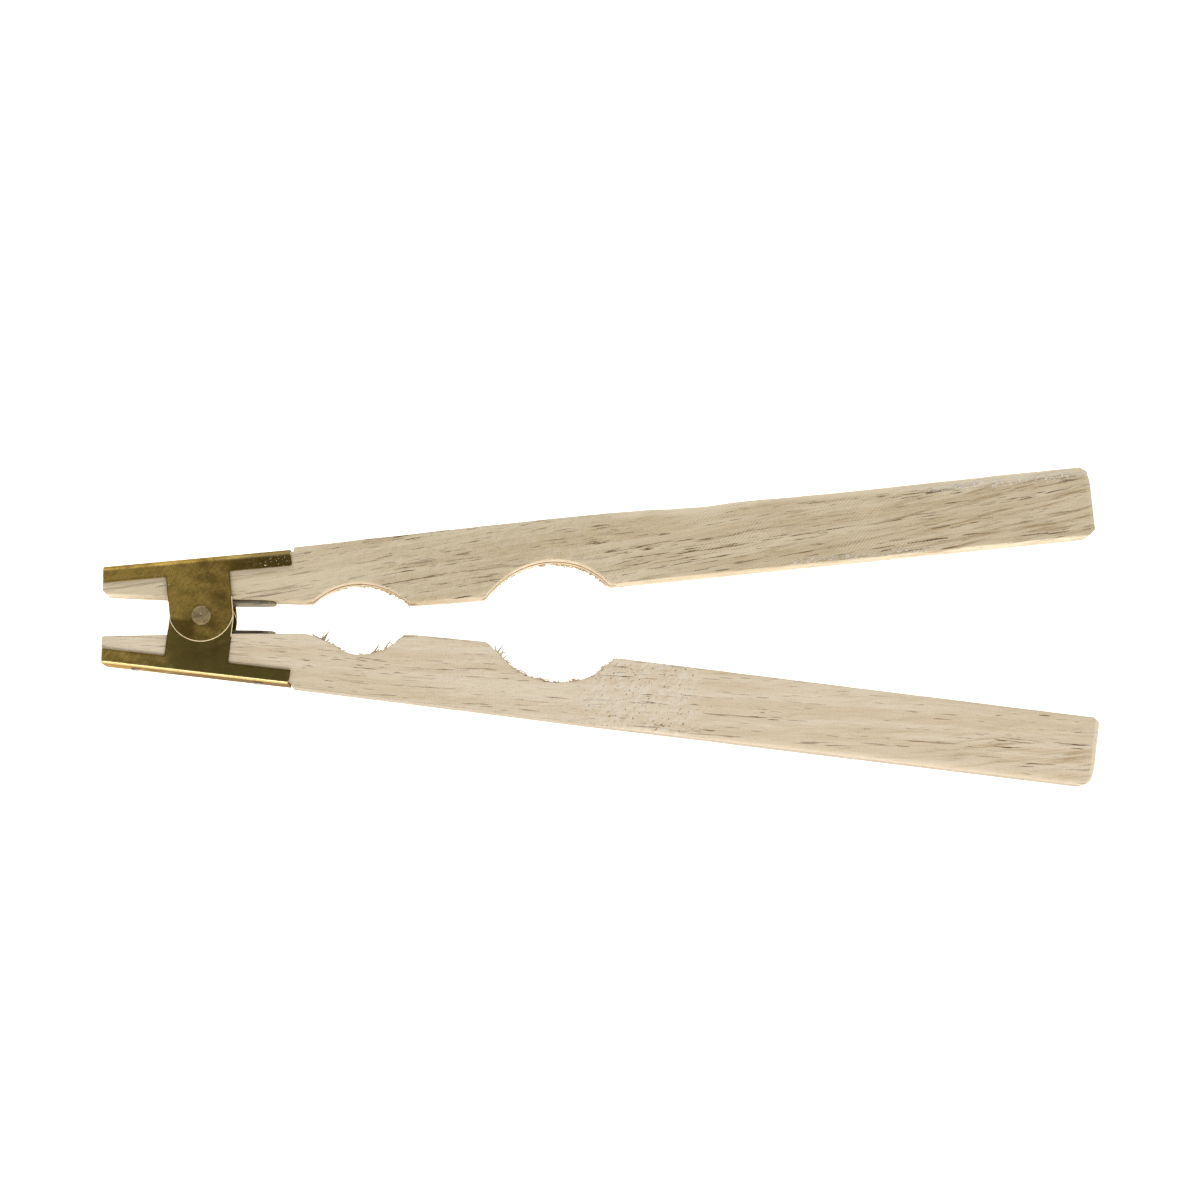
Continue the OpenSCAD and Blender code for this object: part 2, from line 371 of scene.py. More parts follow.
# ---- Materials ----
def wood_material(arm, pale, tan, olive, pore, worn, dull):
    """Raw sawn hardwood: soft bands, fine fibres, rows of pores, saw marks, scuffs and dust, with
    painted shade on the lower arm's outer side and painted light near the jaw.
    """
    g = Graph(arm.name + "_wood")
    grain = g.warp(g.place(arm.grain), 1.6, (50, 14, 14))
    slant = g.warp(g.place(arm.streak_grain), 2.2, (40, 12, 12))

    bands = g.noise(grain, 60, 2.6, 7, arm.seed, detail=4, rough=0.6)
    g.tone = g.mix(g.step(bands, 0.36, 0.64), pale, tan)
    streaks = g.noise(slant, 17, 1.0, 4, arm.seed + 5, detail=5, rough=0.65)
    g.paint(olive, g.step(streaks, 0.48, 0.7), g.mask("streaky"))
    fibres = g.noise(grain, 8, 0.3, 0.5, arm.seed, detail=4, rough=0.65)
    g.paint(olive, g.step(fibres, 0.3, 0.75, 0.0, 0.32))
    light_fibres = g.noise(grain, 5, 0.3, 0.5, arm.seed + 3, detail=3, rough=0.65)
    g.paint(worn, g.step(light_fibres, 0.5, 0.8, 0.0, 0.45))
    # painted shade: a darker tone on the lower arm's outer side and bevel
    g.paint(dull, g.mask("outer_painted_shade"), 0.85)

    # rows of pores, broken up into thin dashes of uneven darkness
    rows = g.noise(grain, 34, 0.7, 1.2, arm.seed + 9, detail=1)
    dashes = g.noise(grain, 6.0, 0.27, 0.36, arm.seed + 2, detail=2, rough=0.45)
    both = g.math("ADD", dashes, g.times(rows, 0.7))
    pores = g.step(both, arm.pore_from, arm.pore_from + 0.055)
    fade = g.step(g.noise(grain, 14, 5, 5, arm.seed + 6, detail=1), 0.35, 0.65, 0.5, 1.0)
    g.paint(pore, pores, fade)

    # saw marks: fine slanted lines in patches
    lines = g.add("TexWave", wave_type="BANDS", bands_direction="X")
    g.feed(lines, Vector=g.place(radians(-38)), Scale=0.47)
    g.feed(lines, Distortion=1.6, Detail=2.0, Detail_Scale=0.35)
    patches = g.step(g.noise(grain, 16, 6, 6, 4.0, detail=2), 0.44, 0.66)
    saw = g.times(lines.outputs["Fac"], patches, g.mask("sawn"))
    g.paint(worn, saw, 0.45)

    grit = g.noise(g.place(), 0.42, 0.26, 0.3, 6.0, detail=2, rough=0.7)
    g.paint(olive, g.step(grit, 0.5, 0.75, 0.0, 0.4))
    g.paint(worn, g.step(grit, 0.5, 0.25, 0.0, 0.4))

    # rubbed pale edges and ends, painted light that makes the wood near the jaw paler, scuffed places
    # with tiny dark nicks, dust, and the cutter's burn
    g.paint(worn, g.mask("worn"), 0.75)
    scuffed, scuff_place = g.mask("scuffed"), g.place(radians(44))
    chalk = g.noise(scuff_place, 2.4, 1.2, 1.2, 7.0, detail=6, rough=0.8)
    g.paint(olive, g.step(chalk, 0.42, 0.3), scuffed, 0.5)
    g.paint((240, 231, 214), g.step(chalk, 0.46, 0.62), scuffed, 0.6)
    nicks = g.noise(scuff_place, 1.0, 0.5, 0.5, 2.0, detail=2)
    g.paint(pore, g.step(nicks, 0.65, 0.69), scuffed, 0.85)
    specks = g.noise(grain, 0.9, 0.26, 0.3, 5.0, detail=3, rough=0.7)
    dusty = g.times(g.step(specks, 0.53, 0.59), g.mask("dusty"))
    g.paint((246, 243, 236), dusty, 0.95)
    g.paint((146, 98, 50), g.mask("burnt"), 0.7)

    relief = g.math("SUBTRACT", g.times(fibres, 0.28), g.times(pores, 0.3))
    relief = g.math("ADD", relief, g.times(saw, 0.5))
    relief = g.math("ADD", relief, g.times(dusty, 0.6))
    g.set(Base_Color=g.tone, Roughness=0.68, Specular_IOR_Level=0.35)
    g.bump(relief, 0.09)
    return g.material


def brass_material(name, gold, brown, dark, dark_from, dark_to, glancing):
    """Aged sheet brass: golden at the jaw end, darker towards the handle, blotchy and grainy, with
    painted shade in places and a painted highlight along its folds.
    """
    g = Graph(name)
    place = g.place()
    split = g.add("SeparateXYZ")
    g.join(place, split.inputs[0])
    along = g.step(split.outputs["X"], dark_from, dark_to)
    clouds = g.noise(place, 5, 4, 5, detail=6, rough=0.65)
    brushed = g.noise(g.place(radians(55)), 4.5, 0.35, 0.35, detail=3, rough=0.6)
    blotch = g.math("ADD", clouds, g.times(g.math("SUBTRACT", brushed, 0.5), 0.4))
    g.tone = g.mix(g.step(blotch, 0.3, 0.7), gold, brown)
    uneven = g.times(g.math("SUBTRACT", clouds, 0.5), 0.7)
    g.paint(dark, g.step(g.math("ADD", g.times(along, 0.5), uneven), 0.05, 0.5))
    # stains, and on the lower bracket painted shade too
    g.paint((80, 62, 24), g.mask("stain_and_shade"), 0.75)
    grain = g.noise(place, 0.3, 0.3, 0.3, detail=3, rough=0.7)
    g.paint(dark, g.step(grain, 0.46, 0.7, 0.0, 0.7))
    glints = g.noise(place, 0.4, 0.4, 0.4, 8.0, detail=3, rough=0.7)
    g.paint(brown, g.step(glints, 0.52, 0.76, 0.0, 0.6))
    # painted highlight: a lighter, glossier band along the folds
    bright = g.mask("painted_fold_highlight")
    g.paint((236, 208, 146), bright, 0.8)
    specks = g.noise(place, 0.42, 0.34, 0.4, 3.0, detail=1)
    dusty = g.times(g.step(specks, 0.705, 0.73), g.mask("dust"))
    g.paint((255, 250, 236), dusty)
    rough = g.step(clouds, 0.3, 0.7, 0.36, 0.52)
    g.set(Base_Color=g.tone, Roughness=g.math("SUBTRACT", rough, g.times(bright, 0.2)))
    g.set(Metallic=g.math("SUBTRACT", 0.92, g.times(dusty, 0.9)), Specular_Tint=srgb(glancing))
    g.bump(g.math("ADD", g.times(brushed, 0.5), g.times(grain, 0.7)), 0.03)
    return g.material


def cut_edge_material():
    """The bright sheared edge of the brass sheet."""
    g = Graph("brass_cut_edge")
    scratches = g.noise(g.place(), 0.8, 0.8, 0.12)
    g.set(Base_Color=g.mix(scratches, (236, 206, 150), (255, 238, 200)))
    g.set(Metallic=0.2, Roughness=0.45)
    g.bump(scratches, 0.02)
    return g.material


def rivet_material():
    """Dull grey-brown rivet, darker in its dimples, with painted shade round its rims."""
    g = Graph("rivet_metal")
    place = g.place()
    clouds = g.noise(place, 1.3, 1.3, 1.3, detail=5, rough=0.65)
    g.tone = g.mix(g.step(clouds, 0.35, 0.65), (176, 158, 112), (130, 112, 76))
    g.paint((104, 88, 80), g.mask("dimple"), 0.6)
    # painted shade: a dark ring round the rim of each head
    g.paint((74, 58, 30), g.mask("rim"), 0.65)
    g.set(Base_Color=g.tone, Metallic=0.7, Roughness=g.step(clouds, 0.3, 0.7, 0.42, 0.58))
    g.bump(g.noise(place, 0.25, 0.25, 0.25, detail=3), 0.04)
    return g.material


def spring_material():
    """Dark tempered strip with faint rolling lines along it."""
    g = Graph("spring_steel")
    place = g.place()
    lines = g.noise(place, 12, 12, 0.4, detail=3)
    clouds = g.noise(place, 4, 4, 4, detail=3)
    g.tone = g.mix(g.step(lines, 0.3, 0.7), (108, 103, 90), (158, 151, 132))
    g.paint((66, 50, 38), g.step(clouds, 0.5, 0.75, 0.0, 0.5))
    g.set(Base_Color=g.tone, Metallic=0.9, Roughness=g.step(clouds, 0.3, 0.7, 0.34, 0.5))
    g.set(Specular_Tint=srgb((206, 198, 178)))
    g.bump(lines, 0.015)
    return g.material


def nail_material():
    """Plain dull wire nail."""
    g = Graph("nail_steel")
    clouds = g.noise(g.place(), 0.8, 0.8, 0.8, detail=4, rough=0.65)
    tone = g.mix(g.step(clouds, 0.35, 0.7), (206, 202, 194), (150, 142, 130))
    g.set(Base_Color=tone, Metallic=0.75, Roughness=g.step(clouds, 0.3, 0.7, 0.34, 0.55))
    g.bump(clouds, 0.05)
    return g.material


def floor_material():
    """Matt white floor with a soft glow of its own, like a light table."""
    g = Graph("studio_floor")
    tint = g.noise(g.place(), 400, 400, 400, detail=1)
    g.set(Base_Color=g.mix(tint, (196, 196, 196), (204, 204, 204)))
    g.set(Roughness=0.9, Specular_IOR_Level=0.1)
    g.set(Emission_Color=(1.0, 1.0, 1.0, 1.0), Emission_Strength=1.4)
    return g.material


# ---- Arms ----
def notch_depth(notch, place, extra=0.0):
    """Depth of a round notch at a place along the edge; extra is for the cutter's mark."""
    radius = (notch.width ** 2 / 4 + notch.depth ** 2) / (2 * notch.depth)
    centre = radius - notch.depth
    reach = sqrt((radius + extra) ** 2 - centre ** 2)
    p = (place - notch.middle) / reach
    if abs(p) >= 1:
        return 0.0
    p -= notch.lean * (1 - p * p)
    depth = sqrt((radius + extra) ** 2 - (p * reach) ** 2) - centre
    return depth * (1 - notch.soft * smooth(p, notch.soft_from, -1.1))


def jaw_edge(arm, x):
    """Inner edge of an arm from the jaw's tip to the large notch, without the small notch."""
    return piecewise(x, [
        (-jaw_reach, tip_half + arm.tip_bevel), (arm.tip_bevel - jaw_reach, tip_half),
        (tab_half, throat_half), (crest_1_x, crest_1_half), (crest_2_x, crest_2_half),
        turned(crest_s, handle_in, handle_angle)])


def outer_edge(arm, s):
    """Outer edge of the handle at s, across its own line."""
    end = arm.length
    drop = piecewise(s, [(end - 2.0, 0.0), (end - 0.5, 1.1), (end, 3.4)])
    return outer_off + piecewise(s, arm.sway, ease) + 0.05 * wobble(s, 0, 0, arm.seed, 9) - drop


def outer_bevel(arm, s):
    """Width of the worn round-over along the handle's front outer edge."""
    flow = 1 + 0.22 * wobble(s, 0, 0, arm.seed + 4, 13) + 0.1 * wobble(s, 0, 0, arm.seed, 4)
    if arm is UPPER:
        line = [(96, 0.35), (106, 1.7), (128, 1.7), (142, 1.0), (160, 1.3), (178, 1.9)]
    else:
        line = [(100, 0.35), (125, 1.2), (150, 2.9), (185, 3.1), (225, 2.8)]
    return piecewise(s, line) * flow


def arm_ribs(arm):
    """The arm's ribs from jaw tip to handle end, each with its inner and outer point."""
    ribs = []
    tip, end = -jaw_reach, arm.length

    def add(s, inner, outer, kerf, edge_gap):
        """edge_gap is the distance to the nearer end, whose edges are rounded."""
        reach = arm.end_round if s > 0 else edge_r
        gap = clamp(edge_gap / reach)
        inset = (1 - sqrt(1 - (1 - gap) ** 2)) * min(reach, 0.6)
        ribs.append(SimpleNamespace(s=s, inner=Vector(inner), outer=Vector(outer), kerf=kerf,
                                    inset=inset, width=(Vector(outer) - Vector(inner)).length))

    def add_square(x, outer_t):
        """A rib that starts at x on the inner edge and reaches outer_t across the handle."""
        cut = notch_depth(arm.small, x)
        kerf = max(0.0, notch_depth(arm.small, x, kerf_depth) - cut)
        inner = (x, jaw_edge(arm, x) + cut)
        tilt = handle_angle * smooth(x, tilt_start, tilt_end)
        start_t = turned(*inner, -handle_angle)[1]
        reach = (outer_t - start_t) / cos(handle_angle - tilt)
        outer = (inner[0] - reach * sin(tilt), inner[1] + reach * cos(tilt))
        add(x, inner, outer, kerf, x - tip)

    def seat_t(x):
        """The seat under the bracket's web, across the handle's line."""
        height = (web_off - sheet + x * sin(bracket_angle)) / cos(bracket_angle)
        return turned(x, height, -handle_angle)[1]

    for x in spread(tip, tip + edge_r, 4) + paced(tip + edge_r + 0.1, tip + arm.tip_bevel, 0.3):
        add_square(x, seat_t(x))
    for x in paced(tip + arm.tip_bevel + 0.2, shoulder_x, rib_pitch):
        add_square(x, seat_t(x))
    for x in paced(shoulder_x + 0.15, last_square, rib_pitch):
        add_square(x, outer_edge(arm, x))
    for s in paced(first_on_handle, end - 2.4, rib_pitch) + spread(end - 2.1, end, 14):
        rise = piecewise(s, [(end - 1.5, 0.0), (end, jaw_bevel)])
        cut = notch_depth(arm.large, s)
        kerf = max(0.0, notch_depth(arm.large, s, kerf_depth) - cut)
        add(s, turned(s, handle_in + rise + cut, handle_angle),
            turned(s, outer_edge(arm, s), handle_angle), kerf, end - s)
    return ribs


def quarter(t, z, wide, deep, start, count):
    """Points inside a quarter round about (t, z), running clockwise from the start angle."""
    points = []
    for angle in spread(start, start - 90, count)[1:-1]:
        c, s = cos(radians(angle)), sin(radians(angle))
        points.append((t + wide * c, z + deep * s, c, s))
    return points


def section(rib, bevel):
    """A rib's closed outline as (t, z, outward t, outward z), with t from its inner edge."""
    top, low, width, r = half_thick - rib.inset, rib.inset - half_thick, rib.width, edge_r
    deep = bevel * 0.55
    levels = spread(low + r, kerf_low - kerf_wall, 7)
    levels += spread(kerf_low + kerf_wall, kerf_top - kerf_wall, 3)
    levels += spread(kerf_top + kerf_wall, top - r, 8)
    ring = [(rib.kerf if kerf_low < z < kerf_top else 0.0, z, -1, 0) for z in levels]
    ring += quarter(r, top - r, r, r, 180, 4)
    ring += [(t, top, 0, 1) for t in spread(r, width - bevel, face_count)]
    ring += quarter(width - bevel, top - deep, bevel, deep, 90, 7)
    ring += [(width, z, 1, 0) for z in spread(top - deep, low + r, 18)]
    ring += quarter(width - r, low + r, r, r, 0, 4)
    ring += [(t, low, 0, -1) for t in spread(width - r, r, face_count)]
    ring += quarter(r, low + r, r, r, -90, 4)
    return ring


def wood_relief(arm, s, t, z, near_notch):
    """How far the sawn surface stands out at a place, in millimetres."""
    height = 0.05 * wobble(s, t, z, arm.seed, 14) + 0.025 * wobble(s * 0.3, t, z, arm.seed, 1.1)
    torn = near_notch * clamp(wobble(s, t, z, arm.seed + 8, 1.3) + 0.1)
    return height - 0.3 * torn


wood_mask_names = ("sawn", "streaky", "scuffed", "dusty", "worn", "outer_painted_shade", "burnt")


def wood_masks(arm, rib, t, z, on_wall):
    """What the wood's material needs to know at a place: one number from 0 to 1 for each mask."""
    s = rib.s
    front, face = smooth(z, -2.0, 4.0), smooth(z, 6.2, 7.2)
    across = t + handle_in
    dusty = 0.0
    if arm is UPPER:
        sawn = window(s, 104, 178, 12)
        streaky = 0.15 + 0.85 * smooth(s, 120, 165)
        scuffed = 0.3 * window(s, 30, 100, 14)
        dusty = window(s, 188, 226, 12) * smooth(across, 11.6, 12.8) * smooth(across, 14.6, 13.8)
        dusty += 0.8 * window(s, 152, 180, 8) * smooth(across, -0.4, -1.4)
    else:
        sawn = 0.25 * window(s, 60, 100, 12)
        streaky = 0.2 + 0.8 * smooth(s, 165, 200) * smooth(across, 4, 8)
        ragged_s = s + 5.0 * wobble(s, across, 0, arm.seed + 20, 7)
        scuffed = window(ragged_s, 103, 121, 9) + 0.25 * window(s, 60, 100, 14)
    from_outer = rib.width - t
    on_bevel = outer_bevel(arm, s) - from_outer
    worn = smooth(on_bevel, -0.4, 0.6) * smooth(s, 96, 112)
    worn *= arm.bevel_worn * smooth(z, 2.0, 5.5)
    worn = max(worn, arm.end_worn * smooth(s, arm.length - 1.3, arm.length - 0.9) * front)
    # painted light: the wood towards the jaw is made paler, standing in for light falling there
    worn = max(worn, arm.jaw_painted_light * smooth(s, 46, 20))
    # painted shade: darker on the lower arm's outer wall and, more lightly, on its front bevel
    outer_painted_shade = 0.0
    if arm is LOWER:
        outer_painted_shade = max(smooth(from_outer, edge_r, 0.0), 0.45 * smooth(on_bevel, -0.3, 1.2))
    burnt = window(z, kerf_low - 0.1, kerf_top + 0.1, 0.3) if on_wall and rib.kerf > 0 else 0.0
    return sawn * face, streaky, clamp(scuffed) * face, clamp(dusty) * face, worn, outer_painted_shade, burnt


def make_arm(arm, material):
    """The whole wooden arm as one lofted mesh."""
    points, masks = [], []
    ribs = arm_ribs(arm)
    for rib in ribs:
        line = (rib.outer - rib.inner).normalized()
        bevel = min(outer_bevel(arm, rib.s), rib.width / 3) if rib.s > shoulder_x else edge_r
        ring = section(rib, bevel)
        in_notch = 1.0 if rib.kerf > 0 else 0.0
        for t, z, out_t, out_z in ring:
            on_wall = t < edge_r or rib.kerf > 0 and out_t < -0.9
            near = in_notch * smooth(t, 0.8, 0.2) * smooth(abs(z), half_thick - 1.2, half_thick)
            out = wood_relief(arm, rib.s, t, z, near)
            place = rib.inner + line * (t + out * out_t)
            points.append((place.x, place.y, z + out * out_z))
            masks.append(wood_masks(arm, rib, t, z, on_wall))
    size = len(ring)
    faces = loft(len(ribs), size)
    cap(points, faces, 0, size)
    cap(points, faces, len(points) - 1 - size, size)
    masks += [masks[0], masks[-1]]
    piece = make_piece(arm.name + "_arm_wood", points, faces, [material], arm.side)
    for k, name in enumerate(wood_mask_names):
        add_mask(piece, name, [m[k] for m in masks])
    tidy_mesh(piece, weld=0.0005)
    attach(piece, arm.body)
    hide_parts(arm.name + "_arm")


# ---- Torn fibres in the notches ----
def add_fibre(points, faces, start, heading, length, width, curl):
    """One tapered strip that bends as it goes, as a closed four-sided horn."""
    place, way = Vector(start), Vector(heading).normalized()
    side = way.cross(Vector((0, 0, 1))).normalized()
    first, rings = len(points), 7
    for k in range(rings):
        share = k / (rings - 1)
        half = width / 2 * (1 - share) ** 0.7 + 0.012
        rise = way.cross(side).normalized()
        for a, b in ((1, 0.5), (-1, 0.5), (-1, -0.5), (1, -0.5)):
            points.append(tuple(place + side * (half * a) + rise * (half * b)))
        way = (way + Vector(curl) * (1.0 / rings)).normalized()
        place = place + way * (length / (rings - 1))
    faces += loft(rings, 4, first)
    faces.append(tuple(range(first + 3, first - 1, -1)))
    faces.append(tuple(range(first + 4 * (rings - 1), first + 4 * rings)))


def notch_wall(arm, notch, share):
    """Place on the notch's wall at a share of its width, and the way along the wall there."""
    def at(place):
        if notch is arm.small:
            return Vector((place, jaw_edge(arm, place) + notch_depth(notch, place), 0))
        return Vector((*turned(place, handle_in + notch_depth(notch, place), handle_angle), 0))
    place = notch.middle + (share - 0.5) * notch.width
    return at(place), (at(place + 0.2) - at(place - 0.2)).normalized()


def listed(arm, name):
    """The rows of this name in both of an arm's notches, each with its notch first."""
    return [(notch, *row) for notch in (arm.small, arm.large) for row in getattr(notch, name)]


def make_fibres(arm, material):
    """Loose fibres standing in the notches: a few long ones, listed one by one, and many short ones.
    """
    points, faces, tones = [], [], []
    dice = Random(7 if arm is UPPER else 9)
    for notch, share, z, heading, length, width, curl, tone in listed(arm, "long_fibres"):
        place, _ = notch_wall(arm, notch, share)
        add_fibre(points, faces, place + Vector((0, 0.15, z)), heading, length, width, (*curl, 0))
        tones += [0.75 * tone] * (len(points) - len(tones))
    for notch, low, high, z_low, z_high, count in listed(arm, "fuzz"):
        for _ in range(count):
            place, along = notch_wall(arm, notch, dice.uniform(low, high))
            z = dice.uniform(z_low, z_high)
            back = 1 if dice.random() < 0.5 else -1
            heading = along * back - Vector((0, dice.uniform(0.1, 1.2), dice.uniform(-0.3, 0.3)))
            curl = Vector((dice.uniform(-1.6, 1.6), dice.uniform(-0.9, 1.2), dice.uniform(-0.5, 0.5)))
            length, width = dice.uniform(0.5, 2.1), dice.uniform(0.12, 0.28)
            add_fibre(points, faces, place + Vector((0, 0.05, z)), heading, length, width, curl)
            tones += [dice.choice((0.0, 0.0, 0.15, 0.3))] * (len(points) - len(tones))
    piece = make_piece(arm.name + "_arm_fibres", points, faces, [material], arm.side)
    for name in wood_mask_names:
        add_mask(piece, name, tones if name == "burnt" else [0.0] * len(points))
    tidy_mesh(piece, weld=0.0005)
    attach(piece, arm.body)


# Each long fibre has its share of the notch's width, height, heading, length, width, curl and how
# brown it is. Each band of short ones has two shares, two heights and a count.
UPPER.small.long_fibres = (
    (0.72, -6.4, (0.75, -1.0, 0.1), 2.9, 0.38, (0.6, 0.5), 0.5),
    (0.79, -6.8, (0.2, -1.0, 0.1), 1.5, 0.3, (-0.9, 0.2), 0.6),
    (0.82, -6.2, (0.7, -0.9, 0.1), 2.4, 0.34, (0.2, 0.8), 0.2),
    (0.60, -6.9, (1.0, -0.35, 0.1), 2.2, 0.36, (0, 0.1), 0.3),
    (0.90, -6.9, (1.0, -0.7, 0.1), 1.6, 0.36, (0, 0.1), 0.7),
)
UPPER.large.long_fibres = (
    (0.55, -6.8, (1.0, -0.15, 0), 3.6, 0.42, (0, -0.1), 0.3),
    (0.64, -6.4, (1.0, -0.3, 0), 3.4, 0.4, (0, -0.3), 0.05),
    (0.72, -6.9, (1.0, -0.45, 0), 3.4, 0.4, (0, -0.1), 0.5),
    (0.80, -6.6, (1.0, -0.75, 0), 2.8, 0.36, (0, 0.3), 0.2),
    (0.88, -6.9, (1.0, -0.8, 0), 2.2, 0.36, (0, 0.2), 0.6),
    (0.3, -7.0, (-1.0, -0.35, 0), 2.2, 0.3, (0, -0.2), 0.3),
)
UPPER.small.fuzz = ((0.5, 0.98, -7.3, -4.6, 50), (0.05, 0.5, -7.3, -6.4, 14))
UPPER.large.fuzz = ((0.48, 0.98, -7.3, -4.2, 110), (0.08, 0.5, -7.4, -6.2, 30))
LOWER.small.long_fibres = (
    (0.17, 5.5, (0.5, -1.0, 0.1), 3.2, 0.85, (0.15, 0.1), 0.7),
    (0.14, 4.8, (-0.7, -0.9, 0.2), 1.4, 0.4, (0, 0.3), 0.4),
    (0.16, 6.4, (0.2, -1.0, 0.2), 1.8, 0.5, (0.2, 0.1), 0.8),
    (0.20, 6.0, (0.9, -0.9, 0.2), 1.8, 0.4, (0, 0.1), 0.5),
    (0.11, 6.6, (1.0, 0.1, 0.1), 2.6, 0.42, (0, 0.1), 0.7),
    (0.68, 5.6, (0.6, -0.9, 0.1), 3.8, 0.42, (0.3, -0.5), 0.5),
    (0.71, 6.8, (0.9, -0.75, 0), 3.2, 0.34, (-0.6, -0.5), 0.3),
    (0.70, 6.2, (0.15, -1.0, 0), 2.2, 0.3, (0.9, 0.1), 0.6),
    (0.80, 6.2, (0.5, -1.0, 0), 4.4, 0.4, (0.5, -0.2), 0.4),
    (0.92, 6.6, (0.3, -1.0, 0), 2.8, 0.34, (1.4, 1.0), 0.4),
    (0.66, 6.5, (0.6, -1.0, 0), 1.1, 0.3, (0.4, 0), 0.3),
    (0.72, 6.5, (-0.5, -0.6, 0), 0.8, 0.26, (0.1, 0), 0.6),
)
LOWER.large.long_fibres = (
    (0.09, 5.5, (0.75, -1.1, 0), 3.2, 0.5, (0.1, -0.1), 0.35),
    (0.085, 6.0, (-0.45, -1.1, 0), 2.8, 0.42, (0.6, 0.1), 0.2),
    (0.10, 5.0, (1.0, -0.6, 0), 3.0, 0.42, (0.2, 0.9), 0.7),
    (0.12, 6.0, (0.3, -1.1, 0), 2.6, 0.44, (0.3, 0.2), 0.75),
    (0.08, 6.8, (-0.8, -0.7, 0), 1.8, 0.4, (0, 0.3), 0.8),
    (0.14, 6.6, (0.9, -0.8, 0), 2.4, 0.4, (-0.3, 0.5), 0.5),
    (0.16, 6.8, (1.0, 0.4, 0), 2.6, 0.34, (0, 0.1), 0.0),
    (0.24, 6.6, (1.0, 0.2, 0), 2.6, 0.34, (0, 0.1), 0.1),
)
LOWER.small.fuzz = ((0.08, 0.38, 4.0, 7.4, 46), (0.55, 0.98, 4.5, 7.4, 26))
LOWER.large.fuzz = (
    (0.06, 0.5, 4.5, 7.4, 90),
    (0.5, 0.75, 5.5, 7.4, 44),
    (0.88, 1.0, 5.0, 7.4, 40),
)


# ---- Brackets ----
def fold(arm, u, h, depth):
    """Point of the folded sheet at u along it, h over its profile and depth under its outside."""
    r = arm.bend_r
    flat, arc = side_out - r, r * pi / 2
    side, h = (1 if h >= 0 else -1), abs(h)
    if h <= flat:
        v, z = web_off - depth, h
    elif h <= flat + arc:
        angle = (h - flat) / r
        v = web_off - r + (r - depth) * cos(angle)
        z = flat + (r - depth) * sin(angle)
    else:
        v, z = web_off - r - (h - flat - arc), side_out - depth
        low = web_off - r
        z += arm.step * smooth(v, low, low - joggle_h)
    at_end = clamp((abs(u) - pinch_start) / pinch_length) ** 2
    at_bend = exp(-((h - flat - arc / 2) / (0.7 * arc)) ** 2)
    u -= copysign(0.3 * at_end * at_bend, u)
    v += 0.05 * wobble(u, v, side, arm.seed, 5) * smooth(v, web_off - 1.5, web_off - 3)
    z += 0.035 * wobble(u, v, 0, arm.seed, 6)
    x, y = turned(u, v, bracket_angle)
    return (x, y, z * side)


def side_h(arm, v):
    """Distance over the profile from the web's middle down to the height v on a side."""
    return side_out - arm.bend_r + arm.bend_r * pi / 2 + web_off - arm.bend_r - v


def flat_pattern(arm):
    """The sheet before it is folded, less the rounding of its edges: points (u, h) and faces."""
    strip_low = web_off - arm.strip_h + sheared
    half, tab = bracket_len / 2 - sheared, tab_half - sheared
    round_r, fillet_r = tab_end_r - sheared, corner_r + sheared
    level = strip_low - fillet_r
    points, faces, index = [], [], {}

    def at(u, h):
        key = (round(u, 4), round(h, 4))
        if key not in index:
            index[key] = len(points)
            points.append((u, h))
        return index[key]

    def patch(columns, rows_of):
        """Faces between columns, all turned alike; rows_of gives each column's places."""
        for u0, u1 in zip(columns, columns[1:]):
            left, right = sorted(rows_of(u0)), sorted(rows_of(u1))
            for k in range(len(left) - 1):
                faces.append((at(u0, left[k]), at(u1, right[k]),
                              at(u1, right[k + 1]), at(u0, left[k + 1])))

    def low_edge(u):
        """Lowest height of the side strip, of its round corner, or of the tab's upper part."""
        beyond = abs(u) - tab
        if beyond >= fillet_r:
            return strip_low
        return level + sqrt(fillet_r ** 2 - (fillet_r - max(0.0, beyond)) ** 2)

    def tab_end(u):
        return tab_end_off - sqrt(round_r ** 2 - min(abs(u), tab) ** 2)

    fillet = [tab + fillet_r * (1 - cos(radians(a))) for a in spread(0, 90, 6)]
    strip = paced(tab + fillet_r, half, 0.7)
    tabs = [tab * sin(radians(a)) for a in spread(-90, 90, 40)]
    outside = fillet[1:] + strip[1:]
    every = [-u for u in outside[::-1]] + tabs + outside
    flat, arc = side_out - arm.bend_r, arm.bend_r * pi / 2
    bend = spread(flat, flat + arc, 8)
    web = [-h for h in bend[::-1]] + spread(-flat, flat, 20)[1:] + bend[1:]
    patch(every, lambda u: web)
    for side in (1, -1):
        patch(every, lambda u: [side * h for h in
                                spread(flat + arc, side_h(arm, low_edge(u)), 7)])
        patch(tabs, lambda u: [side * side_h(arm, v) for v in spread(level, tab_end(u), 32)])
    return points, faces


def outline_of(points, faces):
    """The boundary of a flat mesh, in order, as (point number, outward direction)."""
    used = dict.fromkeys((a, b) for face in faces for a, b in zip(face, face[1:] + face[:1]))
    after = {a: b for a, b in used if (b, a) not in used}
    loop = [next(iter(after))]
    while after[loop[-1]] != loop[0]:
        loop.append(after[loop[-1]])
    result = []
    for before, here, following in zip(loop[-1:] + loop[:-1], loop, loop[1:] + loop[:1]):
        way = [Vector(points[b]) - Vector(points[a])
               for a, b in ((before, here), (here, following))]
        normals = [Vector((w.y, -w.x)).normalized() for w in way]
        mean = (normals[0] + normals[1]).normalized()
        result.append((here, mean / max(0.5, mean.dot(normals[0]))))
    return result


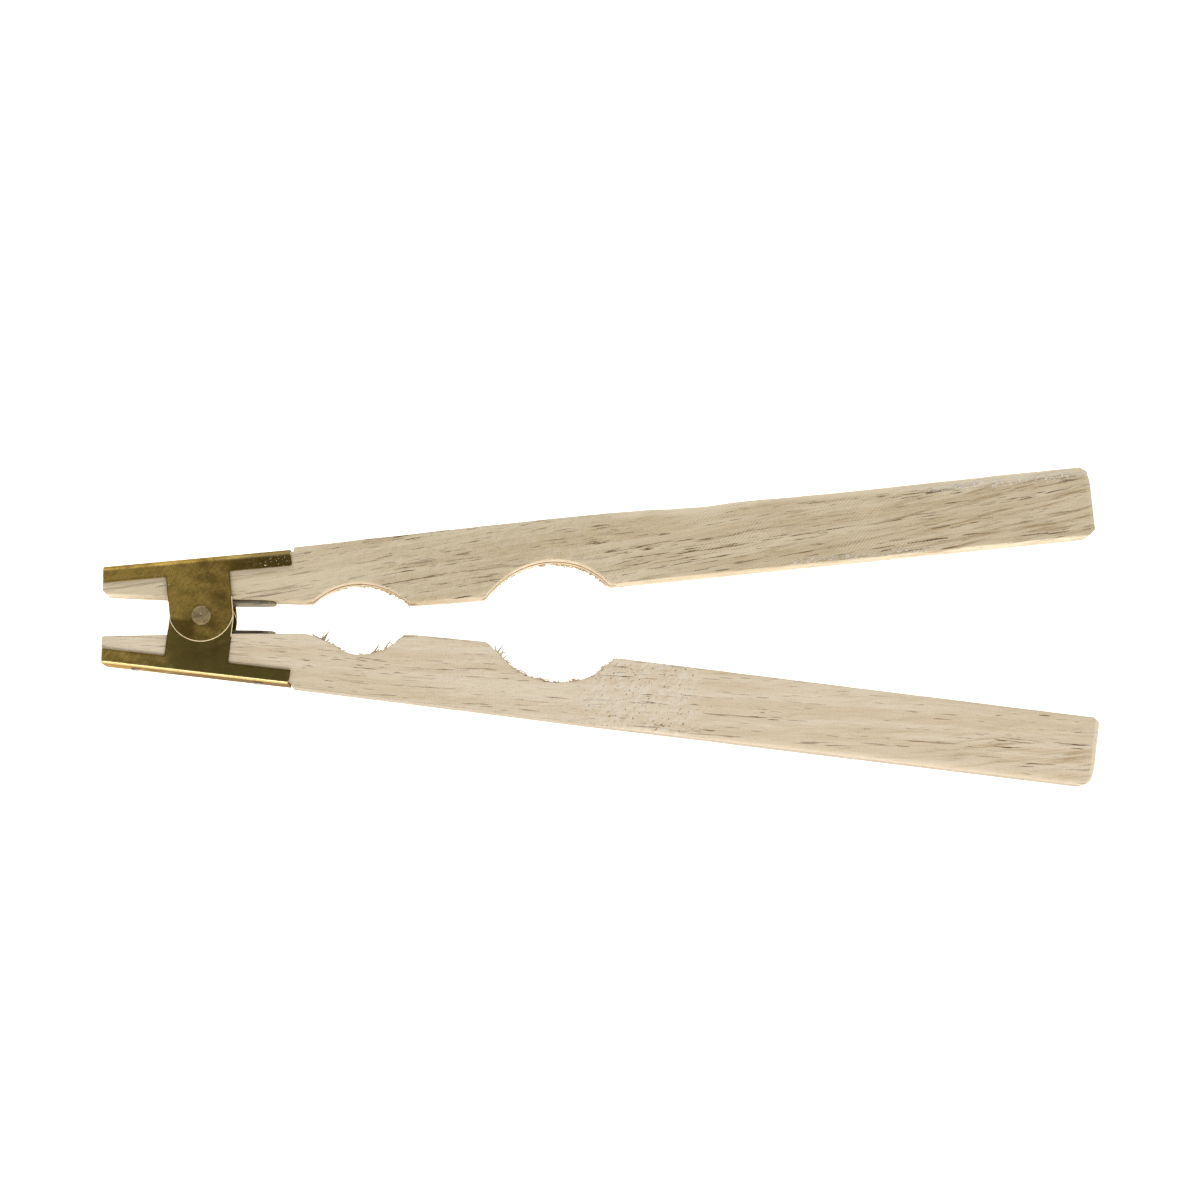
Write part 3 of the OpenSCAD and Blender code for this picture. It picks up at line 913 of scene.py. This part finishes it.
def bracket_mesh(arm):
    """Points and faces of the folded sheet, and the number of its rim's first face."""
    flat_points, flat_faces = flat_pattern(arm)
    border = outline_of(flat_points, flat_faces)
    count = len(flat_points)
    points = [fold(arm, u, h, 0.0) for u, h in flat_points]
    points += [fold(arm, u, h, sheet) for u, h in flat_points]
    faces = flat_faces + [tuple(i + count for i in face[::-1]) for face in flat_faces]
    rim_from = len(faces)
    profile = [(sheared * sin(radians(a)), sheared_deep * (1 - cos(radians(a))))
               for a in spread(0, 90, 4)[1:]]
    profile += [(out, sheet - depth) for out, depth in profile[::-1]]
    rings = [[i for i, _ in border]]
    for out, depth in profile:
        rings.append(range(len(points), len(points) + len(border)))
        for i, way in border:
            u, h = flat_points[i]
            points.append(fold(arm, u + way.x * out, h + way.y * out, depth))
    rings.append([i + count for i, _ in border])
    for upper, lower in zip(rings, rings[1:]):
        for k in range(len(border)):
            after = (k + 1) % len(border)
            faces.append((upper[k], lower[k], lower[after], upper[after]))
    return points, faces, rim_from


def make_bracket(arm, brass, cut_edge):
    """Folded brass sheet: web, two side strips and two tabs with round ends."""
    points, faces, rim_from = bracket_mesh(arm)
    piece = make_piece(arm.name + "_bracket_sheet", points, faces, [brass, cut_edge], arm.side)
    for polygon in piece.data.polygons[rim_from:]:
        x, y, _ = about_hinge(arm, polygon.center)
        polygon.material_index = int(turned(x, y, -bracket_angle)[1] < bright_below)
    tidy_mesh(piece, sharp=60)
    drill(piece, (0, 0), (0, 0, 1), rivet_hole_r, 24.0)
    way_x, way_y = turned(0, 1, bracket_angle)
    for u in (-nail_off, nail_off):
        x, y = turned(u, web_off, bracket_angle)
        drill(piece, (x, y * arm.side), (way_x, way_y * arm.side, 0), nail_hole_r, 4.0)
    places = [about_hinge(arm, vertex.co) for vertex in piece.data.vertices]
    for mask in (stain_and_shade, dust, painted_fold_highlight):
        add_mask(piece, mask.__name__, [mask(arm, *place) for place in places])
    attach(piece, arm.body)
    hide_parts(arm.name + "_bracket")


def about_hinge(arm, place):
    """A mesh point in millimetres about the hinge, as the upper arm lies."""
    x, y, z = (place - hinge) / MM
    return (x, y * arm.side, z)


def stain_and_shade(arm, x, y, z):
    """Where the brass is darker, from 0 to 1: stains, and on the lower bracket painted shade as well.
    """
    u, v = turned(x, y, -bracket_angle)
    ragged = wobble(x, y, 0, arm.seed, 2.2)
    strip_low = web_off - arm.strip_h
    beside = smooth(abs(u), tab_half - 0.2, tab_half + 0.3)
    # darker along the side strips' lower edges and down the tabs' sides next to them
    edge_dark = beside * smooth(v, strip_low + 0.7 + 0.5 * ragged, strip_low) * 0.8
    edge_dark = max(edge_dark, 0.8 * smooth(abs(u), tab_half - 0.5, tab_half - 0.1) * smooth(v, 4, 5)
               * smooth(v, strip_low + 0.6, strip_low))
    if arm is LOWER:
        # painted shade on the lower tab, just past the end of the upper tab
        shade = exp(-((x - 2) / 7) ** 2) * smooth(y, 6.2, 8.0) * smooth(y, 12.5, 9.0)
        # painted shade on the front half of the web's outside, dimming its reflection of the bright
        # floor
        under = 0.6 * smooth(v, web_off - 0.25, web_off - 0.05) * smooth(z, 0, 3)
        return clamp(max(edge_dark, 0.45 * shade * (1 + ragged), under))
    # darker along the upper bend, most towards the jaw
    fold_dark = (0.85 - 0.65 * smooth(x, -14, 6)) * smooth(v, web_off - 1.1, web_off - 0.1)
    y -= 0.35 * ragged
    left = smooth(y, -0.55, -1.15) * smooth(x, -0.6, -2.2) * smooth(y, -8.6, -6.0)
    right = 0.8 * exp(-((x - 2.9) ** 2 + (y + 2.4) ** 2) / 1.9 ** 2)
    under = 0.5 * exp(-(x ** 2 + (y + 6.2) ** 2) / 2.4 ** 2)
    spot = 0.9 * exp(-((x - 3.7) ** 2 + (y - 0.9) ** 2) / 0.3 ** 2)
    return clamp(max(left, right, under, spot, edge_dark, fold_dark))


def dust(arm, x, y, z):
    """Where white dust clings to the brass, from 0 to 1."""
    if arm is LOWER:
        return 0.0
    u, v = turned(x, y, -bracket_angle)
    at_end = smooth(u, 11, 18) * smooth(v, 13.6, 12.6)
    along = window(u, -13, -8.2, 1.5) * smooth(v, web_off - arm.strip_h + 0.9, 10.8)
    return clamp(at_end + along)


def painted_fold_highlight(arm, x, y, z):
    """Painted highlight along the folds, from 0 to 1: the brass is painted lighter and made glossier
    there.
    """
    v = turned(x, y, -bracket_angle)[1]
    if z < 0:
        return 0.0
    if arm is UPPER:
        return 0.25 * smooth(x, 2, 8) * window(v, web_off - 1.2, web_off - 0.5, 0.3)
    bend = window(v, web_off - 0.5, web_off - 0.14, 0.18)
    return bend * (0.3 + 0.7 * smooth(z, 3.5 + wobble(x, 0, 0, 5.0, 6), 6.5))


def drill(piece, foot, way, radius, length):
    """Cuts a round hole of this length about a point (x, y), along a direction."""
    turn = Vector(way).to_track_quat("Z", "Y").to_matrix().to_4x4()
    middle = hinge + Vector((*foot, 0)) * MM
    work = bmesh.new()
    bmesh.ops.create_cone(work, cap_ends=True, segments=32, radius1=radius * MM, depth=length * MM,
                          radius2=radius * MM, matrix=Matrix.Translation(middle) @ turn)
    mesh = bpy.data.meshes.new("drill")
    work.to_mesh(mesh)
    work.free()
    tool = add_object("drill", mesh)
    cut = piece.modifiers.new("hole", "BOOLEAN")
    give(cut, operation="DIFFERENCE", solver="EXACT", object=tool)
    apply_modifiers(piece)
    bpy.data.objects.remove(tool)


# ---- Rivet, spring and nails ----
def turned_piece(name, material, profile, count, place, seed, rough, side=1):
    """A body of revolution; place turns (radius point, height) into a point about the hinge."""
    points = []
    for r, z in profile:
        for k in range(count):
            a = 2 * pi * k / count
            x, y = r * cos(a), r * sin(a)
            push = 1 + rough * wobble(x, y, z, seed, 1.2)
            rise = rough * 0.6 * wobble(x, y, z, seed + 5, 1.4)
            points.append(place(x * push, y * push, z + rise))
    faces = loft(len(profile), count)
    cap(points, faces, 0, count)
    cap(points, faces, len(points) - 1 - count, count)
    piece = make_piece(name, points, faces, [material], side)
    tidy_mesh(piece)
    return piece


def make_rivet(material):
    """Shank with a domed and dimpled head at each end."""
    top, seat, shank, head = rivet_top, head_seat, rivet_r, rivet_head_r
    half = [(shank, 0.0), (shank, seat - 0.02), (shank + 0.05, seat), (head - 0.12, seat),
            (head - 0.03, seat + 0.06), (head, seat + 0.16), (head, seat + 0.4),
            (head - 0.04, seat + 0.52), (head - 0.14, seat + 0.64), (2.16, top - 0.19),
            (1.85, top - 0.12), (1.4, top - 0.07), (0.95, top - 0.05), (0.7, top - 0.06),
            (0.52, top - 0.1), (0.36, top - 0.18), (0.2, top - 0.25), (0.06, top - 0.27)]
    profile = [(r, -z) for r, z in half[:0:-1]] + half[1:]
    piece = turned_piece("hinge_rivet", material, profile, 56, lambda *point: point, 2.0, 0.012)
    radii = [hypot(v.co.x - hinge.x, v.co.y - hinge.y) / MM for v in piece.data.vertices]
    add_mask(piece, "dimple", [smooth(r, 0.95, 0.3) for r in radii])
    add_mask(piece, "rim", [smooth(r, head - 0.3, head) for r in radii])
    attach(piece, "lower_half")
    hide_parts("rivet")


def make_spring(material):
    """Strip bent round the rivet, with a flat leg against each arm."""
    legs = paced(spring_reach, 0, 0.7)
    line = [(x, spring_mid_r) for x in legs]
    line += [turned(spring_mid_r, 0, radians(a)) for a in spread(90, 270, 24)[1:-1]]
    line += [(x, -spring_mid_r) for x in legs[::-1]]
    tip = spring_reach - spring_corner
    points = []
    shares = spread(-1, 1, 16)
    for x, y in line:
        wide = spring_half_w
        if x > tip:
            wide += sqrt(max(0.0, spring_corner ** 2 - (x - tip) ** 2)) - spring_corner
        points += [(x, y, wide * share) for share in shares]
    size = len(shares)
    faces = [(a, a + 1, a + 1 + size, a + size)
             for a in range(size * (len(line) - 1)) if (a + 1) % size]
    piece = make_piece("strip_spring", points, faces, [material])
    tidy_mesh(piece)
    give(piece.modifiers.new("thickness", "SOLIDIFY"), thickness=spring_t * MM, offset=0)
    edges = piece.modifiers.new("edges", "BEVEL")
    give(edges, width=0.18 * MM, segments=3, limit_method="ANGLE", angle_limit=radians(50))
    apply_modifiers(piece)
    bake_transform(piece)
    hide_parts("spring")


def make_nail(arm, place_name, u, material):
    """Flat-headed nail driven through the web into the wood."""
    profile = [(0.05, -7.0), (0.3, -6.4), (0.6, -5.8), (0.6, -0.02), (0.66, 0.0), (1.2, 0.0),
               (1.28, 0.06), (1.3, 0.18), (1.29, 0.36), (1.22, 0.48), (1.05, 0.57),
               (0.7, 0.61), (0.3, 0.58), (0.08, 0.57)]

    def place(x, y, z):
        return (*turned(u + x, web_off + z, bracket_angle), y)

    name = f"{arm.name}_{place_name}_nail"
    piece = turned_piece(name + "_steel", material, profile, 32, place, u * 0.1 + arm.seed, 0.03,
                         arm.side)
    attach(piece, arm.body)
    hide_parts(name)


# ---- Studio ----
def make_floor():
    """Wide pale floor under the object."""
    bpy.ops.mesh.primitive_plane_add(size=8, location=(0, 0, -0.0002))
    floor = bpy.context.active_object
    floor.name = "studio_floor"
    floor.data.materials.append(floor_material())


def make_softbox(name, place, aim, wide, tall, power):
    """Rectangular area light at a place in metres, facing its aim."""
    lamp = bpy.data.lights.new(name, "AREA")
    give(lamp, shape="RECTANGLE", size=wide, size_y=tall, energy=power)
    facing = Vector(aim) - Vector(place)
    turn = facing.to_track_quat("-Z", "Y").to_euler()
    give(add_object(name, lamp), location=place, rotation_euler=turn)


def make_sky(level_low, level_high):
    """Soft studio surroundings, brighter near the floor than overhead."""
    world = bpy.data.worlds.new("studio")
    world.use_nodes = True
    tree = world.node_tree
    tree.nodes.clear()
    kinds = ("TexCoord", "SeparateXYZ", "MapRange", "Background", "OutputWorld")
    coordinates, split, height, background, output = (
        tree.nodes.new("ShaderNode" + kind) for kind in kinds)
    height.interpolation_type = "SMOOTHSTEP"
    settings = {"From Min": 0.35, "From Max": 0.95, "To Min": level_low, "To Max": level_high}
    for key, value in settings.items():
        height.inputs[key].default_value = value
    tree.links.new(coordinates.outputs["Generated"], split.inputs[0])
    tree.links.new(split.outputs["Z"], height.inputs["Value"])
    tree.links.new(height.outputs[0], background.inputs["Strength"])
    tree.links.new(background.outputs[0], output.inputs["Surface"])
    bpy.context.scene.world = world


def make_camera():
    """Long lens from above the handles' side, a little towards the lower arm."""
    place = hinge + Vector((73.2, -81.15, half_thick + 1084.8)) * MM
    target = hinge + Vector((99.05, 5.07, half_thick)) * MM
    roll = radians(0.636)
    view_width = 0.2992
    forward = (target - place).normalized()
    right = Vector((cos(roll), sin(roll), 0))
    right = (right - forward * right.dot(forward)).normalized()
    up = right.cross(forward)
    data = bpy.data.cameras.new("camera")
    data.sensor_width = 36
    data.lens = data.sensor_width * (target - place).length / view_width
    data.clip_start, data.clip_end = 0.05, 20
    camera = add_object("camera", data)
    axes = Matrix((right, up, -forward)).transposed()
    camera.matrix_world = Matrix.Translation(place) @ axes.to_4x4()
    bpy.context.scene.camera = camera


def main():
    make_camera()
    make_floor()
    make_sky(0.95, 0.33)
    middle = (0, 0, 0.01)
    make_softbox("key", (0.05, -0.75, 0.75), middle, 1.1, 0.4, 6)
    make_softbox("fill", (-0.2, 0.9, 0.6), middle, 1.0, 0.5, 2)
    bpy.context.scene.view_settings.view_transform = "Standard"

    woods = (
        wood_material(UPPER, (226, 211, 180), (208, 190, 154), (160, 134, 92),
                      (96, 64, 28), (240, 224, 194), (206, 188, 156)),
        wood_material(LOWER, (238, 225, 200), (225, 208, 178), (182, 154, 112),
                      (108, 68, 36), (250, 230, 200), (152, 134, 108)))
    brasses = (
        brass_material("upper_brass", (212, 178, 94), (144, 122, 62),
                       (94, 78, 36), -14, 22, (226, 196, 130)),
        brass_material("lower_brass", (224, 188, 106), (140, 118, 60),
                       (108, 95, 50), -24, 0, (176, 140, 74)))
    edge = cut_edge_material()
    nail_steel = nail_material()
    for arm, wood, brass in zip(ARMS, woods, brasses):
        make_arm(arm, wood)
        make_fibres(arm, wood)
        make_bracket(arm, brass, edge)
        make_nail(arm, "jaw", -nail_off, nail_steel)
        make_nail(arm, "handle", nail_off, nail_steel)
    make_rivet(rivet_material())
    make_spring(spring_material())


main()
